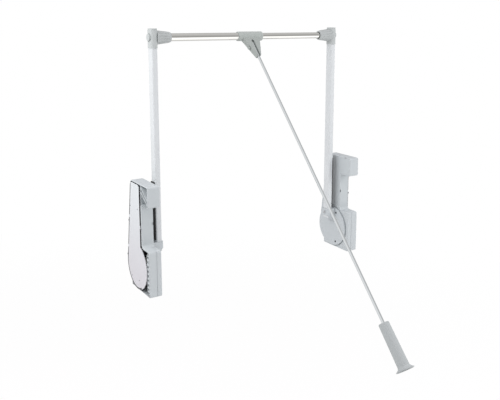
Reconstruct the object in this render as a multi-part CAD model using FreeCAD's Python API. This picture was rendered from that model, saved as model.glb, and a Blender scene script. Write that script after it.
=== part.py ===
import FreeCAD, Part
import math
import os
from FreeCAD import Vector

# Pull down closet rod (wardrobe lift), millimetres.
# Origin: where the lift axis meets the left wall. +X runs to the right wall, +Y to the rear, +Z up.

# Frame
overall_width = 870.0
rail_height = 740.0
gap = 0.3
centre_x = overall_width / 2

# Casing, seen from the side
front_y = -91.0
bottom_z = -82.0
top_z = 282.0
top_rear_y = 43.0
nose_z = 214.0
recess_y = -37.5
ledge_z = 72.0
foot_rear_y = 54.0
drum_r = 82.0
wall = 2.5
rim_x = 1.5
casing_x = 45.0
split_x = 31.0
web_rear_y = -55.0
cover_x = 47.0
edge_r = 1.5
cover_edge_r = 3.5
groove = 1.2
rim_chamfer = 4.0
recess_x = 44.0
recess_r = 80.5

# Wall plate
plate_t = 2.0
plate_r = 78.0
plate_front_y = -33.0
plate_top_z = 277.0
plate_rear_y = 38.5
wall_screw_r = 2.6
wall_screw_spacing_y = 60.0
wall_screw_spacing_z = 240.0
wall_screw_centre = (14.0, 75.0)
tab_w = 6.0

# Cover screws, (y, z)
cover_screw_places = [(-84.0, 64.0), (-84.0, -75.0), (47.0, -75.0)]
cover_screw_r = 1.7
cover_boss_r = 5.0

# Hub and shaft
shaft_r = 6.0
bush_r = 8.0
block_r = 14.0
running_gap = 0.05
neck_r = 24.0
spigot_r = 13.0
spigot_x = 18.0
hub_plate_r = 68.0
hub_plate_x = 49.2
disc_r = 77.5
disc_x0 = 44.4
disc_x1 = 52.4
disc_edge_r = 2.5
disc_skin = 3.0
disc_screw_y = -24.5
disc_screw_z = 58.0
hub_screw_r = 1.9
hub_head_r = 3.7
socket_x = 88.0
socket_half_y = 18.5
socket_top_z = 74.0
socket_knee_z = 50.0
socket_low_z = 20.0

# Arm
arm_x = 75.0
arm_w = 20.0
arm_d = 31.0
arm_corner_r = 5.0
arm_wall = 1.5
arm_low_z = 40.0
arm_high_z = 752.0
arm_screw_z = 61.0
arm_screw_r = 2.5
strip_t = 4.0
strip_half_y = 12.5
strip_low_z = 80.0
strip_high_z = 275.0

# Rack and pinion
module = 2.0
teeth = 22
pressure_angle = math.radians(20)
pinion_x0 = 19.0
pinion_x1 = 33.0
backlash = 0.25
rack_x0 = 19.5
rack_x1 = 32.5
rack_back_y = 33.0
rack_low_z = -58.0
rack_teeth_below = 9
rack_teeth_above = 2
yoke_z0 = 56.0
yoke_z1 = 62.0
mechanism_x = 26.0
passage_x = 42.0
passage_y0 = -28.0
passage_y1 = 42.0

# Spring and damper
spring_y = 24.0
spring_mean_r = 12.0
spring_wire_r = 1.5
spring_turns = 9
spring_guide_r = 5.0
seat_z0 = 246.0
seat_z1 = 258.0
guide_tip_z = 115.0
damper_y = -16.0
damper_r = 9.0
damper_bore_r = 7.0
damper_z0 = 112.0
damper_z1 = 242.0
damper_rod_r = 3.0

# Elbow
elbow_w = 25.0
elbow_d = 37.0
elbow_low_z = 707.0
elbow_high_z = 768.0
elbow_corner_r = 11.5
elbow_lid_z = 763.0
elbow_step = 1.0
collar_r0 = 22.0
collar_r1 = 17.3
collar_tip_r = 16.0
collar_x = 130.0
collar_tip_x = 135.0
collar_ribs = 12
cap_r = 11.5
cap_x = 58.5
bolt_r = 3.0

# Rail
outer_tube_r = 12.5
outer_tube_end_x = 470.0
inner_tube_r = 10.7
inner_tube_end_x = 160.0
tube_wall = 1.2
tube_seat_x = 88.0
glide_length = 30.0

# Rail sleeve and bracket
sleeve_length = 96.0
sleeve_r = 16.0
bracket_top_half = 35.0
bracket_tip_half = 6.5
bracket_tip = 90.0
bracket_t = 16.0
bracket_back_t = 3.0
rod_tilt = 42.0
pin_down = 52.0
pin_r = 2.5
pin_seat = 20.0

# Pull rod and grip, distances down the rod from the rail axis
rod_r = 4.5
rod_wall = 1.0
rod_top = 25.0
rod_end = 1136.0
grip_top = 1037.0
grip_end = 1170.5
grip_r0 = 15.6
grip_r1 = 17.0
grip_flare_r = 26.3


def box(x0, x1, y0, y1, z0, z1):
    return Part.makeBox(x1 - x0, y1 - y0, z1 - z0, Vector(x0, y0, z0))


def rod_x(y, z, r, x0, x1):
    return Part.makeCylinder(r, x1 - x0, Vector(x0, y, z), Vector(1, 0, 0))


def rod_z(x, y, r, z0, z1):
    return Part.makeCylinder(r, z1 - z0, Vector(x, y, z0), Vector(0, 0, 1))


def ring_x(y, z, r_out, r_in, x0, x1):
    return rod_x(y, z, r_out, x0, x1).cut(rod_x(y, z, r_in, x0 - 1, x1 + 1))


def rounded_face(corners, place):
    """A face from corners (a, b, radius), where place(a, b) gives each one's point in space."""
    points = [place(a, b) for a, b, _ in corners]
    radii = [radius for _, _, radius in corners]
    starts, ends, middles = [], [], []
    for i, corner in enumerate(points):
        to_last = (points[i - 1] - corner).normalize()
        to_next = (points[(i + 1) % len(points)] - corner).normalize()
        half = to_last.getAngle(to_next) / 2
        reach = radii[i] / math.tan(half)
        starts.append(corner + to_last * reach)
        ends.append(corner + to_next * reach)
        bisector = (to_last + to_next).normalize()
        middles.append(corner + bisector * (radii[i] / math.sin(half) - radii[i]))
    edges = []
    for i, radius in enumerate(radii):
        if radius > 0:
            edges.append(Part.Arc(starts[i], middles[i], ends[i]).toShape())
        edges.append(Part.LineSegment(ends[i], starts[(i + 1) % len(points)]).toShape())
    return Part.Face(Part.Wire(edges))


def slab_x(corners, x0, x1):
    """A plate from corners (y, z, radius), from x0 to x1."""
    return rounded_face(corners, lambda y, z: Vector(x0, y, z)).extrude(Vector(x1 - x0, 0, 0))


def rounded_bar_z(x, width, depth, radius, z0, z1):
    """An upright bar of rounded section, centred on (x, 0)."""
    w, d = width / 2, depth / 2
    corners = [(x - w, -d, radius), (x + w, -d, radius), (x + w, d, radius), (x - w, d, radius)]
    return rounded_face(corners, lambda a, b: Vector(a, b, z0)).extrude(Vector(0, 0, z1 - z0))


def tangent_point(y, z, radius):
    """Where the line from (y, z) touches the rear of a circle round the lift axis."""
    angle = math.atan2(z, y) - math.acos(radius / math.hypot(y, z))
    return radius * math.cos(angle), radius * math.sin(angle)


def casing_block(inset, x0, x1):
    """The C-shaped side outline with its drum, all walls moved in by inset."""
    touch_y, touch_z = tangent_point(top_rear_y - inset, top_z - inset, drum_r - inset)
    corners = [
        (front_y + inset, bottom_z + inset, 5 - inset * 0.8),
        (foot_rear_y - inset, bottom_z + inset, 4 - inset),
        (foot_rear_y - inset, 0, 0),
        (touch_y, touch_z, 0),
        (top_rear_y - inset, top_z - inset, 7 - inset),
        (front_y + inset, top_z - inset, 6 - inset),
        (front_y + inset, nose_z + inset, 4 - inset),
        (recess_y + inset, nose_z + inset, 4 + inset),
        (recess_y + inset, ledge_z - inset, 12 + inset),
        (front_y + inset, ledge_z - inset, 8 - inset),
    ]
    return slab_x(corners, x0, x1).fuse(rod_x(0, 0, drum_r - inset, x0, x1)).removeSplitter()


def foot_block(inset, x0, x1):
    """The outline of the foot alone: a block with the drum behind it."""
    corners = [
        (front_y + inset, bottom_z + inset, 5 - inset * 0.8),
        (foot_rear_y - inset, bottom_z + inset, 4 - inset),
        (foot_rear_y - inset, 0, 0),
        (foot_rear_y / 2, ledge_z - inset, 0),
        (front_y + inset, ledge_z - inset, 8 - inset),
    ]
    return slab_x(corners, x0, x1).fuse(rod_x(0, 0, drum_r - inset, x0, x1)).removeSplitter()


def soften_face(solid, x, radius):
    """Rounds the edges that lie in the plane at x."""
    near = 1e-3
    edges = [e for e in solid.Edges if abs(e.BoundBox.XMin - x) < near and abs(e.BoundBox.XMax - x) < near]
    return solid.makeFillet(radius, edges)


def on_front_rim(edge):
    """True for the upright edges where the front walls meet the wall side of the casing."""
    bounds = edge.BoundBox
    upright = bounds.ZLength > 20 and bounds.YLength < 1e-3 and bounds.XLength < 1e-3
    return upright and abs(bounds.XMin - rim_x) < 1e-3 and abs(bounds.YMin - front_y) < 1e-3


def strut(y0, z0, y1, z1, thickness, x0, x1):
    """A straight rib between two points of the side view."""
    along = Vector(0, y1 - y0, z1 - z0)
    side = Vector(0, -along.z, along.y).normalize() * (thickness / 2)
    start, end = Vector(x0, y0, z0), Vector(x0, y1, z1)
    face = Part.Face(Part.makePolygon([start - side, end - side, end + side, start + side, start - side]))
    return face.extrude(Vector(x1 - x0, 0, 0))


def casing():
    shell = soften_face(casing_block(0, rim_x, casing_x), casing_x, edge_r)
    shell = shell.makeChamfer(rim_chamfer, [e for e in shell.Edges if on_front_rim(e)])
    shell = shell.cut(foot_block(0, split_x, casing_x + 1))
    shell = shell.cut(casing_block(wall, rim_x - 1, casing_x - wall))
    rib_x = 3.0
    inner_x = casing_x - wall
    rib_t = 3.0
    rib_rise = 36.0
    ribs = [
        strut(front_y + 1, z, recess_y, z + rib_rise, rib_t, rib_x, inner_x)
        for z in (nose_z + 8, nose_z + 24)
    ]
    web_x = 26.0
    ribs.append(box(web_x, web_x + 2, front_y + 1, web_rear_y, bottom_z + 1, ledge_z - 1))
    ribs.append(box(rib_x + 1, inner_x, recess_y - 1, recess_y + wall, nose_z + 1, top_z - 1))
    comb_pitch = 15.3
    comb_low = -63.0
    comb_slots = 8
    comb_y = front_y + wall
    comb = box(rib_x, web_x, comb_y - 0.5, comb_y + 13.5, comb_low, comb_low + comb_slots * comb_pitch)
    for i in range(comb_slots):
        low = comb_low + 4 + i * comb_pitch
        comb = comb.cut(box(rib_x - 1, web_x - 8, comb_y + 1, comb_y + 11.5, low, low + 8.5))
    bosses = [rod_x(y, z, cover_boss_r, rib_x + 2, split_x) for y, z in cover_screw_places]
    shell = shell.fuse(ribs + [comb] + bosses)
    for y, z in cover_screw_places:
        shell = shell.cut(rod_x(y, z, cover_screw_r, rib_x, split_x + 1))
    seam = foot_block(-1, split_x - groove, split_x + 1).cut(foot_block(groove, split_x - 2, split_x + 2))
    foot_zone = box(0, split_x, front_y - 2, drum_r + 2, bottom_z - 2, ledge_z - 2)
    shell = shell.cut(seam.common(foot_zone))
    front_window = box(casing_x - 5, casing_x + 1, recess_y - 1, recess_y + 3, 142, 152)
    top_window = box(casing_x - 5, casing_x + 1, -67, -60, top_z - wall - 0.5, top_z + 1)
    return shell.cut(front_window.fuse(top_window)).removeSplitter()


def inner_cover():
    cover = soften_face(foot_block(0, split_x, cover_x), cover_x, cover_edge_r)
    cover = cover.cut(foot_block(wall, split_x - 1, passage_x))
    cover = cover.fuse([rod_x(y, z, cover_boss_r, split_x, cover_x - 1) for y, z in cover_screw_places])
    for y, z in cover_screw_places:
        cover = cover.cut(rod_x(y, z, cover_screw_r, split_x - 1, cover_x - 4))
    cover = cover.cut(rod_x(0, 0, recess_r, recess_x, cover_x + 1))
    cover = cover.cut(rod_x(0, 0, neck_r + gap, split_x, cover_x + 1))
    passage = box(split_x - 1, passage_x, passage_y0, passage_y1, yoke_z0, drum_r + 1)
    return cover.cut(passage).removeSplitter()


def cover_screws():
    head_x = 2.6
    seat_x = 5.0
    return Part.makeCompound(
        [
            rod_x(y, z, cover_screw_r, seat_x, cover_x - 6).fuse(rod_x(y, z, 3.2, head_x, seat_x))
            for y, z in cover_screw_places
        ]
    )


def wall_screw_places():
    y, z = wall_screw_centre
    half_y, half_z = wall_screw_spacing_y / 2, wall_screw_spacing_z / 2
    return [(y + a * half_y, z + b * half_z) for a in (-1, 1) for b in (-1, 1)]


def wall_plate():
    touch_y, touch_z = tangent_point(plate_rear_y, plate_top_z, plate_r)
    waist_z = math.sqrt(plate_r**2 - plate_front_y**2)
    corners = [
        (0, 0, 0),
        (touch_y, touch_z, 0),
        (plate_rear_y, plate_top_z, 14),
        (plate_front_y, plate_top_z, 16),
        (plate_front_y, waist_z, 0),
    ]
    plate = slab_x(corners, 0, plate_t).fuse(rod_x(0, 0, plate_r, 0, plate_t))
    half = tab_w / 2
    plate = plate.fuse(
        [
            box(rim_x - 1.2, rim_x, recess_y + 0.5, plate_front_y + 1, 134 - half, 134 + half),
            box(rim_x - 1.2, rim_x, 55, 62.5, 141 - half, 141 + half),
            box(rim_x - 1.2, rim_x, plate_r - 2, drum_r - 1, 15, 15 + tab_w),
        ]
    )
    for y, z in wall_screw_places():
        plate = plate.cut(rod_x(y, z, wall_screw_r, -1, plate_t + 1))
    return plate.removeSplitter()


def bearing_block():
    block = ring_x(0, 0, block_r, bush_r, plate_t, 16)
    return block.cut(rod_x(0, 0, bush_r + 1.3, plate_t - 1, 4.2))


def bearing_bush():
    return ring_x(0, 0, bush_r, shaft_r + running_gap, 4.2, 16)


def shaft():
    body = rod_x(0, 0, shaft_r, 2.4, hub_plate_x)
    return body.cut(ring_x(0, 0, shaft_r + 1, shaft_r - 1, 2.8, 4.0))


def shaft_clip():
    clip = ring_x(0, 0, bush_r + 0.8, shaft_r - 1, 2.8, 4.0)
    return clip.cut(box(2, 5, -2.5, 2.5, -12, 0))


def hub():
    """Round plate on a neck and spigot, with the arm's socket standing on its face."""
    back_x = hub_plate_x - 2
    profile = [
        (back_x, socket_top_z),
        (socket_x, socket_top_z),
        (socket_x, socket_knee_z),
        (disc_x1, socket_low_z),
        (back_x, socket_low_z),
    ]
    corners = [Vector(x, -socket_half_y, z) for x, z in profile]
    socket = Part.Face(Part.makePolygon(corners + corners[:1])).extrude(Vector(0, 2 * socket_half_y, 0))
    upright = [e for e in socket.Edges if e.BoundBox.YLength < 1e-3 and e.BoundBox.XMin > disc_x1 - 1e-3]
    body = socket.makeFillet(5, upright).fuse(
        [
            rod_x(0, 0, hub_plate_r, disc_x0 + 0.2, hub_plate_x),
            rod_x(0, 0, neck_r, casing_x - wall - 0.5, disc_x0 + 1),
            rod_x(0, 0, spigot_r, spigot_x, casing_x),
        ]
    )
    body = body.cut(rod_x(0, 0, shaft_r, spigot_x - 1, hub_plate_x + 1))
    body = body.cut(rounded_bar_z(arm_x, arm_w, arm_d, arm_corner_r, arm_low_z, socket_top_z + 1))
    body = body.cut(rod_x(0, arm_screw_z, arm_screw_r, disc_x1, socket_x + 1))
    for y, z in hub_screw_places():
        body = body.cut(rod_x(y, z, hub_screw_r, disc_x0, hub_plate_x + 1))
    return body.removeSplitter()


def hub_screw_places():
    return [(disc_screw_y, a * disc_screw_z) for a in (-1, 1)]


def hub_disc():
    body = soften_face(rod_x(0, 0, disc_r, disc_x0, disc_x1), disc_x1, disc_edge_r)
    body = body.cut(rod_x(0, 0, disc_r - 3, disc_x0 - 1, disc_x1 - disc_skin))
    half = socket_half_y + gap
    body = body.cut(box(disc_x0 - 1, disc_x1 + 1, -half, half, socket_low_z - gap, socket_top_z + gap))
    for y, z in hub_screw_places():
        body = body.cut(rod_x(y, z, hub_screw_r, hub_plate_x, disc_x1 + 1))
        body = body.cut(rod_x(y, z, hub_head_r + 0.8, disc_x1 - 2, disc_x1 + 1))
    return body.removeSplitter()


def hub_screws():
    screws = []
    for y, z in hub_screw_places():
        head = rod_x(y, z, hub_head_r, disc_x1 - 2, disc_x1 - 0.8)
        head = head.cut(box(disc_x1 - 1.4, disc_x1, y - 2.6, y + 2.6, z - 0.5, z + 0.5))
        screws.append(head.fuse(rod_x(y, z, hub_screw_r, disc_x0 + 1, disc_x1 - 2)))
    return Part.makeCompound(screws)


def involute_point(base_r, spread, turn):
    return Vector(
        0,
        base_r * (math.cos(spread + turn) + spread * math.sin(spread + turn)),
        base_r * (math.sin(spread + turn) - spread * math.cos(spread + turn)),
    )


def pinion():
    pitch_r = module * teeth / 2
    base_r = pitch_r * math.cos(pressure_angle)
    tip_r = pitch_r + module
    root_r = pitch_r - 1.25 * module
    tip_spread = math.sqrt((tip_r / base_r) ** 2 - 1)
    pitch_spread = math.tan(pressure_angle)
    pitch_turn = pitch_spread - pressure_angle
    half_tooth = (math.pi * module / 2 - backlash) / 2 / pitch_r
    turn = -(half_tooth + pitch_turn)
    flank = [involute_point(base_r, tip_spread * i / 6, turn) for i in range(7)]
    other = [Vector(0, p.y, -p.z) for p in reversed(flank)]
    root_in = Vector(0, root_r * math.cos(turn) - 0.5, root_r * math.sin(turn))
    root_out = Vector(0, root_in.y, -root_in.z)
    tooth_edges = [
        Part.LineSegment(root_in, flank[0]).toShape(),
        Part.BSplineCurve(flank).toShape(),
        Part.Arc(flank[-1], Vector(0, tip_r, 0), other[0]).toShape(),
        Part.BSplineCurve(other).toShape(),
        Part.LineSegment(other[-1], root_out).toShape(),
        Part.LineSegment(root_out, root_in).toShape(),
    ]
    tooth = Part.Face(Part.Wire(tooth_edges)).extrude(Vector(pinion_x1 - pinion_x0, 0, 0))
    tooth.translate(Vector(pinion_x0, 0, 0))
    ring = []
    for i in range(teeth):
        copy = tooth.copy()
        copy.rotate(Vector(0, 0, 0), Vector(1, 0, 0), (i + 0.5) * 360 / teeth)
        ring.append(copy)
    gear = rod_x(0, 0, root_r, pinion_x0, pinion_x1).fuse(ring)
    return gear.cut(rod_x(0, 0, spigot_r, pinion_x0 - 1, pinion_x1 + 1)).removeSplitter()


def rack():
    pitch_y = module * teeth / 2
    pitch = math.pi * module
    half = (pitch / 2 - backlash) / 2
    slope = math.tan(pressure_angle)
    root_y = pitch_y + 1.25 * module
    tip_y = pitch_y - module
    body = box(rack_x0, rack_x1, root_y, rack_back_y, rack_low_z, yoke_z1)
    parts = []
    for i in range(-rack_teeth_below, rack_teeth_above + 1):
        z = i * pitch
        root_half = half + (root_y + 0.1 - pitch_y) * slope
        tip_half = half - (pitch_y - tip_y) * slope
        corners = [
            Vector(rack_x0, root_y + 0.1, z - root_half),
            Vector(rack_x0, tip_y, z - tip_half),
            Vector(rack_x0, tip_y, z + tip_half),
            Vector(rack_x0, root_y + 0.1, z + root_half),
        ]
        face = Part.Face(Part.makePolygon(corners + corners[:1]))
        parts.append(face.extrude(Vector(rack_x1 - rack_x0, 0, 0)))
    yoke = box(12, 40, damper_y - 8, spring_y + 14, yoke_z0, yoke_z1)
    yoke = yoke.cut(rod_z(mechanism_x, damper_y, damper_rod_r, yoke_z0 - 1, yoke_z1 + 1))
    return body.fuse(parts + [yoke]).removeSplitter()


def rack_guide():
    back = box(plate_t, 38, rack_back_y + gap, rack_back_y + 5, -68, 50)
    lips = [
        box(14, rack_x0 - gap, 26.5, rack_back_y + gap, -50, 50),
        box(rack_x1 + gap, 38, 26.5, rack_back_y + gap, -50, 50),
    ]
    shelf = box(14, 38, 24, rack_back_y + gap, -68, -64)
    return back.fuse(lips + [shelf]).removeSplitter()


def buffer_pad():
    return box(20, 32, 25, rack_back_y, -64, rack_low_z - 0.5)


def spring():
    low = yoke_z1 + gap + spring_wire_r
    high = seat_z0 - spring_wire_r
    helix = Part.makeHelix((high - low) / spring_turns, high - low, spring_mean_r)
    start = Part.Circle(Vector(spring_mean_r, 0, 0), Vector(0, 1, 0), spring_wire_r).toShape()
    coil = Part.Wire(helix.Edges).makePipeShell([Part.Wire([start])], True, True)
    coil.translate(Vector(mechanism_x, spring_y, low))
    return coil


def spring_seat():
    seat = box(plate_t, 40, -26, 40, seat_z0, seat_z1)
    seat = seat.cut(rod_z(mechanism_x, damper_y, 4, seat_z0 - 1, seat_z1 + 1))
    return seat.fuse(rod_z(mechanism_x, spring_y, spring_guide_r, guide_tip_z, seat_z0 + 1)).removeSplitter()


def damper_cylinder():
    body = rod_z(mechanism_x, damper_y, damper_r, damper_z0, damper_z1)
    body = body.fuse(rod_z(mechanism_x, damper_y, 4, damper_z1 - 1, seat_z1))
    body = body.cut(rod_z(mechanism_x, damper_y, damper_bore_r, damper_z0 + 4, damper_z1 - 6))
    return body.cut(rod_z(mechanism_x, damper_y, damper_rod_r + running_gap, damper_z0 - 1, damper_z0 + 5))


def damper_rod():
    piston_z = 124.0
    rod = rod_z(mechanism_x, damper_y, damper_rod_r, yoke_z0, piston_z + 1)
    piston = rod_z(mechanism_x, damper_y, damper_bore_r - running_gap, piston_z, piston_z + 6)
    return rod.fuse(piston).removeSplitter()


def arm():
    tube = rounded_bar_z(arm_x, arm_w, arm_d, arm_corner_r, arm_low_z, arm_high_z)
    inner_w, inner_d = arm_w - 2 * arm_wall, arm_d - 2 * arm_wall
    tube = tube.cut(
        rounded_bar_z(arm_x, inner_w, inner_d, arm_corner_r - arm_wall, arm_low_z - 1, arm_high_z + 1)
    )
    tube = tube.cut(rod_x(0, rail_height, bolt_r, arm_x - arm_w, arm_x + arm_w))
    return tube.cut(rod_x(0, arm_screw_z, arm_screw_r, arm_x - arm_w, arm_x + arm_w))


def arm_strip():
    back_x = arm_x - arm_w / 2
    strip = box(back_x - strip_t, back_x, -strip_half_y, strip_half_y, strip_low_z, strip_high_z)
    return soften_face(strip, back_x - strip_t, 1)


def arm_screw():
    head = soften_face(rod_x(0, arm_screw_z, 5, socket_x, socket_x + 3), socket_x + 3, 1.2)
    head = head.cut(box(socket_x + 2, socket_x + 4, -3.5, 3.5, arm_screw_z - 0.6, arm_screw_z + 0.6))
    return head.fuse(rod_x(0, arm_screw_z, arm_screw_r, disc_x1, socket_x)).removeSplitter()


def elbow():
    inner_x = arm_x + elbow_w / 2
    block = rounded_bar_z(arm_x, elbow_w, elbow_d, elbow_corner_r, elbow_low_z, elbow_high_z)
    block = block.makeFillet(1.2, [e for e in block.Edges if e.BoundBox.ZMin > elbow_high_z - 0.01])
    lid_w, lid_d = elbow_w - 2 * elbow_step, elbow_d - 2 * elbow_step
    over_z = elbow_high_z + 1
    lid = rounded_bar_z(arm_x, lid_w, lid_d, elbow_corner_r - elbow_step, elbow_lid_z - 1, over_z)
    block = block.cut(box(0, 2 * arm_x, -elbow_d, elbow_d, elbow_lid_z, over_z).cut(lid))
    axis = Vector(1, 0, 0)
    cone_start = Vector(inner_x - 2, 0, rail_height)
    cone = Part.makeCone(collar_r0, collar_r1, collar_x - cone_start.x, cone_start, axis)
    tip = Part.makeCone(
        collar_r1, collar_tip_r, collar_tip_x - collar_x, Vector(collar_x, 0, rail_height), axis
    )
    wall_side = arm_x - elbow_w / 2
    boss = rod_x(0, rail_height, cap_r + 2.4, wall_side, arm_x)
    body = block.fuse([boss, cone, tip])
    for i in range(collar_ribs):
        rib = box(inner_x - 1, collar_x - 3, -0.9, 0.9, collar_r1 - 4, collar_r0 + 1.2)
        slope = Part.makeCone(
            collar_r0 + 1, collar_r1 + 0.6, collar_x - 2 - cone_start.x, Vector(cone_start.x, 0, 0), axis
        )
        rib = rib.common(slope)
        rib.rotate(Vector(0, 0, 0), axis, (i + 0.5) * 360 / collar_ribs)
        rib.translate(Vector(0, 0, rail_height))
        body = body.fuse(rib)
    body = body.cut(rounded_bar_z(arm_x, arm_w, arm_d, arm_corner_r, elbow_low_z - 1, arm_high_z))
    body = body.cut(rod_x(0, rail_height, outer_tube_r, tube_seat_x - 2, collar_tip_x + 1))
    body = body.cut(rod_x(0, rail_height, bolt_r, arm_x, tube_seat_x))
    body = body.cut(ring_x(0, rail_height, cap_r + 1.2, cap_r, wall_side - 1, wall_side + 1.2))
    return body.cut(rod_x(0, rail_height, 6.2, wall_side - 1, arm_x)).removeSplitter()


def elbow_cap():
    wall_side = arm_x - elbow_w / 2
    cap = soften_face(rod_x(0, rail_height, cap_r, cap_x, wall_side), cap_x, 1.2)
    return cap.cut(rod_x(0, rail_height, 6.6, cap_x + 1.5, wall_side + 1))


def rail_bolt():
    head_x = arm_x - arm_w / 2
    head = rod_x(0, rail_height, 6, head_x - 4.2, head_x)
    return head.fuse(rod_x(0, rail_height, bolt_r, head_x - 1, tube_seat_x + 24)).removeSplitter()


def rail_plug(tube_r):
    """Plug in the end of a rail tube, with a ring outside a tube that is thinner than the elbow's bore."""
    start = tube_seat_x - 2
    plug = rod_x(0, rail_height, outer_tube_r, start, tube_seat_x)
    plug = plug.fuse(rod_x(0, rail_height, tube_r - tube_wall, tube_seat_x - 1, tube_seat_x + 26))
    if tube_r < outer_tube_r:
        plug = plug.fuse(ring_x(0, rail_height, outer_tube_r, tube_r, tube_seat_x, tube_seat_x + 22))
    return plug.cut(rod_x(0, rail_height, bolt_r, start - 1, tube_seat_x + 24)).removeSplitter()


def outer_rail_tube():
    tube = ring_x(0, rail_height, outer_tube_r, outer_tube_r - tube_wall, tube_seat_x, outer_tube_end_x)
    groove_x = centre_x - 30
    return tube.cut(
        ring_x(0, rail_height, outer_tube_r + 1, outer_tube_r - 0.6, groove_x - 2.5, groove_x + 2.5)
    )


def inner_rail_tube():
    return ring_x(
        0, rail_height, inner_tube_r, inner_tube_r - tube_wall, inner_tube_end_x, overall_width - tube_seat_x
    )


def rail_glide():
    start = outer_tube_end_x - glide_length
    bush = rod_x(0, rail_height, outer_tube_r - tube_wall, start, outer_tube_end_x)
    bush = bush.fuse(rod_x(0, rail_height, outer_tube_r, outer_tube_end_x, outer_tube_end_x + 1.5))
    return bush.cut(rod_x(0, rail_height, inner_tube_r + running_gap, start - 1, outer_tube_end_x + 2))


def tilt(shape):
    """Turns a piece that hangs straight below the rail forward to the rest tilt."""
    shape.rotate(Vector(0, 0, rail_height), Vector(1, 0, 0), -rod_tilt)
    return shape


def below_rail(x, down):
    return Vector(centre_x + x, 0, rail_height - down)


def rail_sleeve():
    x0, x1 = centre_x - sleeve_length / 2, centre_x + sleeve_length / 2
    body = rod_x(0, rail_height, sleeve_r, x0, x1)
    body = soften_face(soften_face(body, x0, 1.5), x1, 1.5)
    web = [
        (-bracket_top_half, 8, 0),
        (bracket_top_half, 8, 0),
        (bracket_tip_half, bracket_tip, 3),
        (-bracket_tip_half, bracket_tip, 3),
    ]
    half_t = bracket_t / 2
    face = rounded_face(web, lambda x, down: below_rail(x, down) + Vector(0, -half_t, 0))
    bracket = face.extrude(Vector(0, bracket_t, 0))
    body = body.fuse(bracket)
    slot_half = rod_r + 0.4
    slot = box(
        centre_x - slot_half,
        centre_x + slot_half,
        -half_t - 1,
        half_t - bracket_back_t,
        rail_height - bracket_tip - 1,
        rail_height - rod_top - 1,
    )
    arch_start = below_rail(0, rod_top + 1) + Vector(0, -half_t - 1, 0)
    arch = Part.makeCylinder(slot_half, bracket_t - bracket_back_t + 1, arch_start, Vector(0, 1, 0))
    body = body.cut(slot.fuse(arch))
    pin_z = rail_height - pin_down
    body = body.cut(rod_x(0, pin_z, pin_r, x0, x1))
    body = body.cut(rod_x(0, pin_z, 5.8, x0, centre_x - pin_seat))
    body = body.cut(rod_x(0, pin_z, 5.8, centre_x + pin_seat, x1))
    body = body.cut(rod_x(0, rail_height, outer_tube_r + running_gap, x0 - 1, outer_tube_end_x + 2))
    body = body.cut(rod_x(0, rail_height, inner_tube_r + gap, x0, x1 + 1))
    body = body.cut(rod_z(centre_x - 30, 0, 2, rail_height, rail_height + sleeve_r + 1))
    return tilt(body.removeSplitter())


def sleeve_screw():
    body = rod_z(centre_x - 30, 0, 2, rail_height + outer_tube_r - 0.3, rail_height + sleeve_r - 0.4)
    top = rail_height + sleeve_r
    return tilt(body.cut(box(centre_x - 33, centre_x - 27, -0.4, 0.4, top - 1.4, top + 1)))


def rod_pin():
    pin_z = rail_height - pin_down
    half = pin_seat
    body = rod_x(0, pin_z, pin_r, centre_x - half, centre_x + half)
    head = rod_x(0, pin_z, 5.4, centre_x - half - 6, centre_x - half)
    head = soften_face(head, centre_x - half - 6, 1.5)
    foot = rod_x(0, pin_z, 4.5, centre_x + half, centre_x + half + 2)
    return tilt(body.fuse([head, foot]).removeSplitter())


def pull_rod():
    axis = Vector(0, 0, -1)
    dome_r = rod_r - 0.5
    body = Part.makeCylinder(rod_r, rod_end - rod_top, below_rail(0, rod_top), axis)
    body = body.makeFillet(dome_r, [e for e in body.Edges if e.BoundBox.ZMin > rail_height - rod_top - 0.01])
    hollow_top = pin_down + 12
    hollow_length = rod_end - hollow_top + 1
    body = body.cut(Part.makeCylinder(rod_r - rod_wall, hollow_length, below_rail(0, hollow_top), axis))
    return tilt(body.cut(rod_x(0, rail_height - pin_down, pin_r, centre_x - 10, centre_x + 10)))


def grip():
    """Turned about the rod: rounded shoulder, slight taper, bell end with a hollow underside."""
    lip = 2.0

    def at(radius, down):
        return Vector(centre_x + radius, 0, rail_height - down)

    shoulder = [at(grip_r0 - 3, grip_top), at(grip_r0 - 0.9, grip_top + 0.9), at(grip_r0, grip_top + 3)]
    bell_start = grip_end - 14
    bell_end = at(grip_flare_r - 0.5, grip_end - lip - 1)
    bell = [at(grip_r1, bell_start), at(grip_r1 + 2.8, bell_start + 7.5), bell_end]
    rim = [bell[-1], at(grip_flare_r, grip_end - 1.4), at(grip_flare_r - 1.5, grip_end)]
    hollow = [at(grip_flare_r - 4, grip_end), at(grip_r1 - 1, grip_end - 9), at(rod_r, grip_end - 14)]
    edges = [
        Part.LineSegment(at(rod_r, grip_top), shoulder[0]).toShape(),
        Part.Arc(*shoulder).toShape(),
        Part.LineSegment(shoulder[-1], bell[0]).toShape(),
        Part.Arc(*bell).toShape(),
        Part.Arc(*rim).toShape(),
        Part.LineSegment(rim[-1], hollow[0]).toShape(),
        Part.Arc(*hollow).toShape(),
        Part.LineSegment(hollow[-1], at(rod_r, grip_top)).toShape(),
    ]
    face = Part.Face(Part.Wire(edges))
    return tilt(face.revolve(at(0, 0), Vector(0, 0, 1), 360))


def mirrored(shape):
    return shape.mirror(Vector(centre_x, 0, 0), Vector(1, 0, 0))


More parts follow.
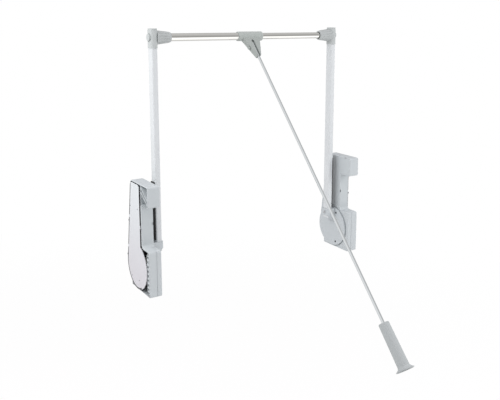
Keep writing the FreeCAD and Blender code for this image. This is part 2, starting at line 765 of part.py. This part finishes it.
side_parts = {
    "casing": casing(),
    "inner_cover": inner_cover(),
    "cover_screws": cover_screws(),
    "wall_plate": wall_plate(),
    "bearing_block": bearing_block(),
    "bearing_bush": bearing_bush(),
    "shaft": shaft(),
    "shaft_clip": shaft_clip(),
    "hub": hub(),
    "hub_disc": hub_disc(),
    "hub_screws": hub_screws(),
    "pinion": pinion(),
    "rack": rack(),
    "rack_guide": rack_guide(),
    "buffer": buffer_pad(),
    "spring": spring(),
    "spring_seat": spring_seat(),
    "damper_cylinder": damper_cylinder(),
    "damper_rod": damper_rod(),
    "arm": arm(),
    "arm_strip": arm_strip(),
    "arm_screw": arm_screw(),
    "elbow": elbow(),
    "elbow_cap": elbow_cap(),
    "rail_bolt": rail_bolt(),
}

parts = {}
for name, shape in side_parts.items():
    parts["left_" + name] = shape
    parts["right_" + name] = mirrored(shape)
parts["left_rail_plug"] = rail_plug(outer_tube_r)
parts["right_rail_plug"] = mirrored(rail_plug(inner_tube_r))
parts["outer_rail_tube"] = outer_rail_tube()
parts["inner_rail_tube"] = inner_rail_tube()
parts["rail_glide"] = rail_glide()
parts["rail_sleeve"] = rail_sleeve()
parts["sleeve_screw"] = sleeve_screw()
parts["rod_pin"] = rod_pin()
parts["pull_rod"] = pull_rod()
parts["grip"] = grip()

os.makedirs("parts", exist_ok=True)
for name, shape in parts.items():
    shape.exportStep("parts/" + name + ".step")
    state = "valid" if shape.isValid() else "INVALID"
    print(name, len(shape.Solids), "solid(s)", round(shape.Volume / 1000, 2), "cm3", state)
print(len(parts), "nodes")
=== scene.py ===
import math

import bmesh
import bpy
from mathutils import Matrix, Vector


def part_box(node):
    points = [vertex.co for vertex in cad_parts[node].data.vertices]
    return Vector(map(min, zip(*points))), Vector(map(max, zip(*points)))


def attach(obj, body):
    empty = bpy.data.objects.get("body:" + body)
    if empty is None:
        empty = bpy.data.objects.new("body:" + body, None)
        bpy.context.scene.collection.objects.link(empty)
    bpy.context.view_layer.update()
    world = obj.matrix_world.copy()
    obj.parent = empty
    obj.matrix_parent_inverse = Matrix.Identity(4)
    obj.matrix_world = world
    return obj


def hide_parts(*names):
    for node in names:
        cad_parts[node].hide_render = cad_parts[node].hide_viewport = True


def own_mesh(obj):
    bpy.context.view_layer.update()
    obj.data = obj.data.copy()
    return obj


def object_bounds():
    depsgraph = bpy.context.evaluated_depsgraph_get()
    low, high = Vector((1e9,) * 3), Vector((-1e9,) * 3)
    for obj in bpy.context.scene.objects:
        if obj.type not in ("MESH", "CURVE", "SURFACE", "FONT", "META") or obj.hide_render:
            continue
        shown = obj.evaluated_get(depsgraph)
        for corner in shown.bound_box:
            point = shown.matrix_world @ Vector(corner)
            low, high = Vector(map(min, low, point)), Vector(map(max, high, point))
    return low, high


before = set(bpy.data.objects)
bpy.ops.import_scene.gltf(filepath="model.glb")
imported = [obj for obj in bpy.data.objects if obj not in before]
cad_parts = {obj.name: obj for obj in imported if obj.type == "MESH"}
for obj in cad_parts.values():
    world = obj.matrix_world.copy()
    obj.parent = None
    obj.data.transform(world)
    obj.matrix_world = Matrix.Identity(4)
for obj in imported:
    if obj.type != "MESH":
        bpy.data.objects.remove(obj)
cad_low, cad_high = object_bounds()

# Camera. It stands in front of the open wardrobe, to the left, at the height of the raised rail, and looks
# a little down. The lens axis passes above the middle of the image, so the uprights stay nearly parallel.
focal_px = 661.3
image_w = 500
image_h = 400
axis_row = 138.3
camera_place = (-0.7911, -1.9418, 0.789)
camera_turn = math.radians(32.34)
camera_dip = math.radians(10)

camera_data = bpy.data.cameras.new("camera")
camera_data.sensor_width = 36
camera_data.lens = focal_px / image_w * camera_data.sensor_width
camera_data.shift_y = (axis_row - image_h / 2) / image_w
camera = bpy.data.objects.new("camera", camera_data)
camera.location = camera_place
camera.rotation_euler = (math.pi / 2 - camera_dip, 0, -camera_turn)
bpy.context.collection.objects.link(camera)
bpy.context.scene.camera = camera
bpy.context.scene.view_settings.view_transform = "Standard"

# Studio. A broad lamp stands high beside the left wall unit and one stands in front on the right. Both are
# square softboxes, aimed at the middle of the rail's frame and kept out of the chrome.
middle_x = (cad_low.x + cad_high.x) / 2
aim = Vector((middle_x, -0.05, 0.35))
softboxes = [
    ("softbox_left", (-1.15, -0.02, 1.2), 1.7, 20),
    ("softbox_front", (2.0, -1.9, 1.0), 1.4, 26),
]
for name, place, width, watts in softboxes:
    lamp_data = bpy.data.lights.new(name, "AREA")
    lamp_data.shape = "SQUARE"
    lamp_data.size = width
    lamp_data.energy = watts
    lamp = bpy.data.objects.new(name, lamp_data)
    lamp.visible_camera = False
    lamp.visible_glossy = False
    lamp.location = place
    lamp.rotation_euler = (aim - lamp.location).to_track_quat("-Z", "Y").to_euler()
    bpy.context.collection.objects.link(lamp)

# Floor. A white paper sweep well below the raised grip. Seen by the camera it fades out to plain white
# with distance, and near the object it keeps the soft shadow of what hangs above it.
floor_z = -0.75
floor_half = 9.0
paper_dark = (0.80, 0.80, 0.80, 1)
paper_pale = (0.84, 0.84, 0.84, 1)
glow_near = 0.88
fade_start = 0.8
fade_end = 3.0
sharp_angle = math.radians(35)


class Value:
    """One socket in a finish. Arithmetic on it adds Math nodes and gives the result's socket."""

    def __init__(self, finish, socket):
        self.finish = finish
        self.socket = socket

    def maths(self, operation, *terms):
        return self.finish.node("Math", {"operation": operation}, dict(enumerate(terms)))

    def __add__(self, other):
        return self.maths("ADD", self, other)

    def __sub__(self, other):
        return self.maths("SUBTRACT", self, other)

    def __rsub__(self, other):
        return self.maths("SUBTRACT", other, self)

    def __mul__(self, other):
        return self.maths("MULTIPLY", self, other)

    def __gt__(self, other):
        return self.maths("GREATER_THAN", self, other)

    def __lt__(self, other):
        return self.maths("LESS_THAN", self, other)

    def __abs__(self):
        return self.maths("ABSOLUTE", self)

    __radd__ = __add__
    __rmul__ = __mul__


class Finish:
    """A material under construction, read from the piece's own Object coordinates."""

    def __init__(self, name):
        self.material = bpy.data.materials.new(name)
        self.material.use_nodes = True
        self.tree = self.material.node_tree
        self.shader = self.tree.nodes["Principled BSDF"]

    def node(self, kind, settings, inputs, output=0):
        """Adds a node: its settings first, then the values or links of its sockets."""
        made = self.tree.nodes.new("ShaderNode" + kind)
        for key, value in settings.items():
            setattr(made, key, value)
        for key, value in inputs.items():
            if isinstance(value, Value):
                self.tree.links.new(value.socket, made.inputs[key])
            else:
                made.inputs[key].default_value = value
        return Value(self, made.outputs[output])

    def place(self, stretch=(1, 1, 1)):
        """Object coordinates in metres, stretched to draw a grain out along an axis."""
        here = self.node("TexCoord", {}, {}, "Object")
        return self.node("VectorMath", {"operation": "MULTIPLY"}, {0: here, 1: stretch})

    def axes(self):
        """Object coordinates as three separate values."""
        here = self.node("TexCoord", {}, {}, "Object")
        return [self.node("SeparateXYZ", {}, {0: here}, axis) for axis in "XYZ"]

    def grain(self, per_metre, detail=3.0, stretch=(1, 1, 1)):
        """Noise from 0 to 1 with about this many lumps to the metre."""
        inputs = {"Vector": self.place(stretch), "Scale": per_metre, "Detail": detail}
        return self.node("TexNoise", {}, inputs, "Fac")

    def ease(self, value, low, high):
        """A smooth step from 0 at low to 1 at high."""
        settings = {"interpolation_type": "SMOOTHSTEP"}
        return self.node("MapRange", settings, {"Value": value, "From Min": low, "From Max": high})

    def mix(self, factor, first, second):
        return self.node("Mix", {"data_type": "RGBA"}, {0: factor, 6: first, 7: second}, 2)

    def bump(self, height, distance, edge=0.0008):
        """Relief of this depth in metres, over edges that shade as if broken to a small radius."""
        softened = self.node("Bevel", {"samples": 4}, {"Radius": edge})
        return self.node("Bump", {}, {"Distance": distance, "Height": height, "Normal": softened})

    def tone(self):
        """The colour that the surface has so far."""
        return Value(self, self.shader.inputs["Base Color"].links[0].from_socket)

    def set(self, **sockets):
        """Sets the surface shader's sockets, named with underscores for spaces."""
        for key, value in sockets.items():
            socket = self.shader.inputs[key.replace("_", " ")]
            if isinstance(value, Value):
                self.tree.links.new(value.socket, socket)
            else:
                socket.default_value = value
        return self


def finished(name, shape, material):
    """Makes an object of a bmesh, shaded smooth between its sharp edges."""
    data = bpy.data.meshes.new(name)
    shape.to_mesh(data)
    shape.free()
    data.shade_smooth()
    data.set_sharp_from_angle(angle=sharp_angle)
    data.materials.append(material)
    made = bpy.data.objects.new(name, data)
    bpy.context.collection.objects.link(made)
    return made


paper = Finish("floor_paper")
tooth = paper.grain(60)
paper.set(
    Base_Color=paper.mix(tooth, paper_dark, paper_pale),
    Roughness=0.9,
    Normal=paper.bump(tooth, 0.0001),
)
glow = paper.node("Emission", {}, {"Color": (1, 1, 1, 1), "Strength": 1.0})
seen = paper.node("LightPath", {}, {}, "Is Camera Ray")
through = paper.node("LightPath", {}, {}, "Is Transmission Ray")
distance = paper.node("VectorMath", {"operation": "LENGTH"}, {0: paper.place()}, "Value")
glow_share = glow_near + paper.ease(distance, fade_start, fade_end) * (1 - glow_near)
lit_paper = Value(paper, paper.shader.outputs[0])
surface = paper.node("MixShader", {}, {0: (seen + through) * glow_share, 1: lit_paper, 2: glow})
paper.tree.links.new(surface.socket, paper.tree.nodes["Material Output"].inputs["Surface"])

sweep = bmesh.new()
bmesh.ops.create_grid(sweep, size=floor_half, matrix=Matrix.Translation((middle_x, 0, floor_z)))
floor = finished("floor", sweep, paper.material)
floor.visible_glossy = False

# Room light. The world is white behind the object and a plain pale grey as light. In chrome it is a grey
# studio: a screen in front on the right ends above a bright strip of floor, and the floor darkens behind.
room_light = 0.54
sky_light = (1.22, 1.15, 1.20, 1)
sky_rise = (0.3, 1.0)
screen = 0.48
ceiling = 0.66
ceiling_rise = (0.4, 0.95)
horizon = 0.36
horizon_height = 0.06
horizon_fade = (0.06, 0.24)
strip = 1.4
strip_end = (-0.3, 0.1)
floor_edge = (-0.28, -0.12)
lit_floor = 0.78
far_floor = 0.40
floor_fade = (-0.7, -0.3)
wall_near = 0.66
wall_far = 0.96
wall_fade = (0.1, -0.9)
opening_middle = 0.5
opening_edge = (0.3, 0.4)
blue_share = 0.985

world = bpy.data.worlds.new("room")
world.use_nodes = True
bpy.context.scene.world = world


class Room(Finish):
    """The world's nodes, built like a finish."""

    def __init__(self, tree):
        self.tree = tree
        self.shader = tree.nodes["Background"]


def grey(level):
    return (level, level, level * blue_share, 1)


room = Room(world.node_tree)
ray = {
    kind: room.node("LightPath", {}, {}, f"Is {kind} Ray")
    for kind in ("Camera", "Glossy", "Transmission")
}
direction = room.node("TexCoord", {}, {}, "Generated")
across, away, height = (room.node("SeparateXYZ", {}, {0: direction}, axis) for axis in "XYZ")
overhead = room.mix(room.ease(height, *ceiling_rise), grey(screen), grey(ceiling))
off_horizon = room.ease(abs(height - horizon_height), *horizon_fade)
upper = room.mix(off_horizon, grey(horizon), overhead)
behind = room.mix(room.ease(height, *floor_fade), grey(lit_floor), grey(far_floor))
lower = room.mix(room.ease(away, *strip_end), grey(strip), behind)
ahead = room.mix(room.ease(height, *floor_edge), lower, upper)
wall = room.mix(room.ease(across, *wall_fade), grey(wall_near), grey(wall_far))
in_chrome = room.mix(room.ease(abs(across - opening_middle), *opening_edge), ahead, wall)
as_light = room.mix(room.ease(height, *sky_rise), grey(room_light), sky_light)
unseen = room.mix(ray["Glossy"], as_light, in_chrome)
room.set(Color=room.mix(ray["Camera"] + ray["Transmission"], unseen, (1, 1, 1, 1)))

# Wall plates. Pressed steel with a pale powder coat; each is screwed flat to the side wall of the wardrobe
# and closes the casing's open side. A dark band along the plate's edge is painted shade, the shadow of the
# gap round the plate, and it stops at a few pale breaks.
plate_color = (0.57, 0.565, 0.60)
plate_top_color = (0.625, 0.665, 0.685)
top_shade_rise = (-0.1, 0.3)
# Painted shadow of the gap round the plate: its colour and its widths at the rear and the front.
plate_gap_shadow_color = (0.045, 0.045, 0.05)
rear_gap_shadow_width = 0.0055
front_gap_shadow_width = 0.0012
foot_r = 0.078
front_edge = -0.033
waist_z = 0.0707
rear_lean = math.radians(8.28)
# Heights of the pale breaks in the painted shadow, and their half width.
rear_shadow_breaks = (0.158, 0.051)
front_shadow_break = 0.140
break_half = 0.005
peel_scale = 420
peel_depth = 0.00002
sides = ("left", "right")


def shade(color, factor):
    return (*(c * factor for c in color), 1)


def dress(finish, *nodes):
    """Gives CAD nodes a finish in place of their flat colour."""
    for name in nodes:
        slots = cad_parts[name].data.materials
        slots.clear()
        slots.append(finish.material)


def both(name):
    return [f"{side}_{name}" for side in sides]


def powder_coat(name, color, top_color=None):
    """Baked powder with orange peel; given a top colour, the colour shifts into it towards the top."""
    made = Finish(name)
    lumps = made.grain(peel_scale, 2.0)
    drift = made.grain(12, 3.0)
    tone = made.mix(drift, shade(color, 0.97), shade(color, 1.03))
    if top_color:
        rise = made.ease(made.axes()[2], *top_shade_rise)
        tone = made.mix(rise, tone, shade(top_color, 1))
    return made.set(
        Base_Color=tone,
        Roughness=0.33 + drift * 0.08 + lumps * 0.06,
        Coat_Weight=0.12,
        Coat_Roughness=0.2,
        Normal=made.bump(lumps, peel_depth),
    )


plate_coat = powder_coat("wall_plate_coat", plate_color, plate_top_color)
_, along, up = plate_coat.axes()
radius = plate_coat.node("VectorMath", {"operation": "LENGTH"}, {0: plate_coat.place((0, 1, 1))}, "Value")
from_rear = along * math.cos(rear_lean) + up * math.sin(rear_lean)
on_foot = (up < foot_r * math.sin(rear_lean)) * (along > front_edge)
rear_unshadowed = sum(abs(up - break_z) < break_half for break_z in rear_shadow_breaks)
front_unshadowed = abs(up - front_shadow_break) < break_half
# Painted shade: a dark band along the plate's edge for the shadow of the gap round it.
plate_gap_shadow = (
    (radius > foot_r - rear_gap_shadow_width) * on_foot
    + (from_rear > foot_r - rear_gap_shadow_width) * (1 - rear_unshadowed)
    + (along < front_edge + front_gap_shadow_width) * (up > waist_z) * (1 - front_unshadowed)
) > 0.5
plate_coat.set(Base_Color=plate_coat.mix(plate_gap_shadow, plate_coat.tone(), shade(plate_gap_shadow_color, 1)))
dress(plate_coat, *both("wall_plate"))

# Casings and inner covers. Grey moulded shells; the cover closes the foot on the rail's side and three
# screws pull it against the casing.
casing_color = (0.495, 0.535, 0.552)
spark_scale = 1900
spark_depth = 0.000002


def moulded(name, color, roughness=0.42):
    """Satin plastic from a spark-eroded mould: fine even grain, faint clouding and flow."""
    made = Finish(name)
    grain = made.grain(spark_scale, 2.0)
    cloud = made.grain(26, 4.0)
    flow = made.grain(9, 2.0, (1, 1, 0.2))
    tone = cloud * 0.6 + flow * 0.4
    return made.set(
        Base_Color=made.mix(tone, shade(color, 0.97), shade(color, 1.03)),
        Roughness=roughness - 0.08 + cloud * 0.1 + grain * 0.06,
        Normal=made.bump(grain, spark_depth),
    )


casing_finish = moulded("casing_grey", casing_color)
dress(casing_finish, *both("casing"), *both("inner_cover"))

# Cover screws. Small zinc-plated steel screws, driven from the wall side into the bosses of the cover
# before the unit is hung.
zinc_color = (0.55, 0.55, 0.57)


def steel(name, color, roughness, stretch=(1, 1, 1)):
    """Bare or plated steel with fine drawn lines and faint smears."""
    made = Finish(name)
    lines = made.grain(900, 2.0, stretch)
    smear = made.grain(45, 4.0)
    return made.set(
        Base_Color=made.mix(smear, shade(color, 0.9), shade(color, 1.05)),
        Metallic=1.0,
        Roughness=roughness + smear * 0.1 + lines * 0.05,
        Normal=made.bump(lines, 0.000004, 0.0003),
    )


screw_finish = steel("screw_zinc", zinc_color, 0.3)
dress(screw_finish, *both("cover_screws"))

# Bearings. The block is moulded like the casing, the bush is natural acetal, and the ground steel shaft is
# kept in by a spring clip.
acetal_color = (0.78, 0.78, 0.75)
shaft_color = (0.60, 0.60, 0.61)
oiled_color = (0.22, 0.22, 0.24)
acetal = moulded("acetal_white", acetal_color, 0.38)
shaft_finish = steel("shaft_ground", shaft_color, 0.18, (0.05, 1, 1))
oiled_steel = steel("spring_oiled", oiled_color, 0.34)
dress(casing_finish, *both("bearing_block"))
dress(acetal, *both("bearing_bush"))
dress(shaft_finish, *both("shaft"))
dress(oiled_steel, *both("shaft_clip"))

# Gear and rack. The pinion sits on the hub's spigot and drives the rack up its guide. Both are glass-filled
# nylon with a cloudy milky tone; the guide is moulded like the casing.
nylon_color = (0.74, 0.71, 0.60)
dress(moulded("gear_nylon", nylon_color, 0.5), *both("pinion"), *both("rack"))
dress(casing_finish, *both("rack_guide"))

# Buffers. A block of black rubber under each rack takes the blow as the rail comes back up. Its faces still
# carry a little of the mould's talc.
rubber_color = (0.015, 0.015, 0.015, 1)
dust_color = (0.035, 0.034, 0.033, 1)
rubber = Finish("buffer_rubber")
rubber_dust = rubber.grain(700, 3.0)
rubber.set(
    Base_Color=rubber.mix(rubber_dust, rubber_color, dust_color),
    Roughness=0.72 + rubber_dust * 0.15,
    Normal=rubber.bump(rubber_dust, 0.00003),
)
dress(rubber, *both("buffer"))

# Lift springs. Each is wound from oiled round wire with a closed coil at both ends, round the guide of its
# moulded seat. The rack's yoke presses it against the seat as the rail comes down.
wire_r = 0.0015
wire_sides = 10
steps_per_turn = 30
open_turns = 7
closed_pitch = 2.1 * wire_r

dress(casing_finish, *both("spring_seat"))
for side in sides:
    low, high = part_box(f"{side}_spring")
    seat_point = Vector(((low.x + high.x) / 2, (low.y + high.y) / 2, high.z))
    start = Vector((high.x - wire_r, seat_point.y, low.z + wire_r))
    length = high.z - low.z
    open_pitch = (length - 2 * wire_r - 2 * closed_pitch) / open_turns
    across_wire = Matrix.Translation(start) @ Matrix.Rotation(math.pi / 2, 4, "X")
    coil = bmesh.new()
    bmesh.ops.create_circle(coil, radius=wire_r, segments=wire_sides, matrix=across_wire)
    wire_end = coil.verts[:] + coil.edges[:]
    for turns, pitch in ((1, closed_pitch), (open_turns, open_pitch), (1, closed_pitch)):
        wound = bmesh.ops.spin(
            coil,
            geom=wire_end,
            cent=seat_point,
            axis=(0, 0, 1),
            dvec=(0, 0, pitch / steps_per_turn),
            angle=2 * math.pi * turns,
            steps=steps_per_turn * turns,
        )
        wire_end = wound["geom_last"]
    bmesh.ops.holes_fill(coil, edges=[e for e in coil.edges if e.is_boundary])
    bmesh.ops.recalc_face_normals(coil, faces=coil.faces)
    spring = finished(f"{side}_lift_spring", coil, oiled_steel.material)
    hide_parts(f"{side}_spring")
    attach(spring, f"{side}_fixed")
    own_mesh(spring)

# Dampers. The cylinder is a steel tube in black enamel, hung from the spring seat. The rack moves its
# ground steel rod.
enamel_color = (0.05, 0.05, 0.055)
dress(powder_coat("damper_enamel", enamel_color), *both("damper_cylinder"))
dress(shaft_finish, *both("damper_rod"))

# Hubs. Grey mouldings on the shafts, each with a socket for the arm. The round disc is screwed over the hub
# with two blackened screws and turns with it in the foot.
hub_color = (0.505, 0.545, 0.565)
black_oxide_color = (0.10, 0.10, 0.11)
hub_finish = moulded("hub_grey", hub_color)
dress(hub_finish, *both("hub"), *both("hub_disc"))
dress(steel("screw_black_oxide", black_oxide_color, 0.4), *both("hub_screws"))

# Arms. Flat steel tube with a pale powder coat, pushed into the hub's socket and held by a zinc-plated screw.
# A thin black strip along its wall side is painted shade, standing for the dark gap between arm and casing.
arm_color = (0.62, 0.65, 0.665)
dress(powder_coat("arm_coat", arm_color), *both("arm"))
dress(screw_finish, *both("arm_screw"))
# The black strip is painted shade: a dark sheet in the shaded gap between the arm and the casing.
dress(rubber, *both("arm_strip"))

# Elbows. Glass-filled moulding with a ribbed collar round the rail's end, which is clamped by a bolt and an
# acetal plug under the round cap. The collar is coloured a darker grey than the rest.
elbow_color = (0.455, 0.485, 0.485)
collar_from_middle = 0.3475
collar_share = 0.91


def darken_where(finish, mask, share):
    """Darkens a moulding's colour to this share where the mask is 1."""
    multiply = {"data_type": "RGBA", "blend_type": "MULTIPLY"}
    darker = finish.node("Mix", multiply, {0: 1.0, 6: finish.tone(), 7: (share, share, share, 1)}, 2)
    finish.set(Base_Color=finish.mix(mask, finish.tone(), darker))


elbow_finish = moulded("elbow_grey", elbow_color)
on_collar = abs(elbow_finish.axes()[0] - middle_x) < collar_from_middle
darken_where(elbow_finish, on_collar, collar_share)
dress(elbow_finish, *both("elbow"), *both("elbow_cap"))
dress(screw_finish, *both("rail_bolt"))
dress(acetal, *both("rail_plug"))

# Rail. Two chromed steel tubes; the inner one slides in the outer one, on a bush of natural acetal, to suit
# the wardrobe's width.
rail_color = (0.80, 0.79, 0.77)


def chrome(name, color, stretch):
    """Bright chrome plate with faint wiping marks along the tube."""
    made = Finish(name)
    wiped = made.grain(30, 4.0, stretch)
    drawn = made.grain(1200, 2.0, stretch)
    return made.set(
        Base_Color=made.mix(wiped, shade(color, 0.96), shade(color, 1.02)),
        Metallic=1.0,
        Roughness=0.03 + wiped * 0.04,
        Normal=made.bump(drawn, 0.0000003, 0.0003),
    )


rail_finish = chrome("rail_chrome", rail_color, (0.06, 1, 1))
dress(rail_finish, "outer_rail_tube", "inner_rail_tube")
dress(acetal, "rail_glide")

# Rail sleeve. A grey moulding held on the outer tube by a screw in its groove; the rod hangs in the slot of
# its bracket on a cross pin. The bracket is darkened as painted shade: the rail's shadow falling on it.
sleeve_color = (0.385, 0.42, 0.405)
rail_z = 0.74
sleeve_reach = 0.0175
bracket_shadow_share = 0.89
sleeve_finish = moulded("sleeve_grey", sleeve_color)
from_rail = sleeve_finish.node(
    "VectorMath",
    {"operation": "DISTANCE"},
    {0: sleeve_finish.place((0, 1, 1)), 1: (0, 0, rail_z)},
    "Value",
)
# Painted shade: the bracket and pin are darkened for the rail's shadow on them.
darken_where(sleeve_finish, from_rail > sleeve_reach, bracket_shadow_share)
dress(sleeve_finish, "rail_sleeve", "rod_pin")
dress(screw_finish, "sleeve_screw")

# Pull rod and grip. The rod is a thin chromed steel tube. The moulded grip is pushed over its end and flares
# out to a bell below the hand.
rod_color = (0.73, 0.755, 0.78)
grip_color = (0.40, 0.43, 0.435)
dress(chrome("rod_chrome", rod_color, (1, 0.1, 0.1)), "pull_rod")
dress(moulded("grip_grey", grip_color, 0.5), "grip")
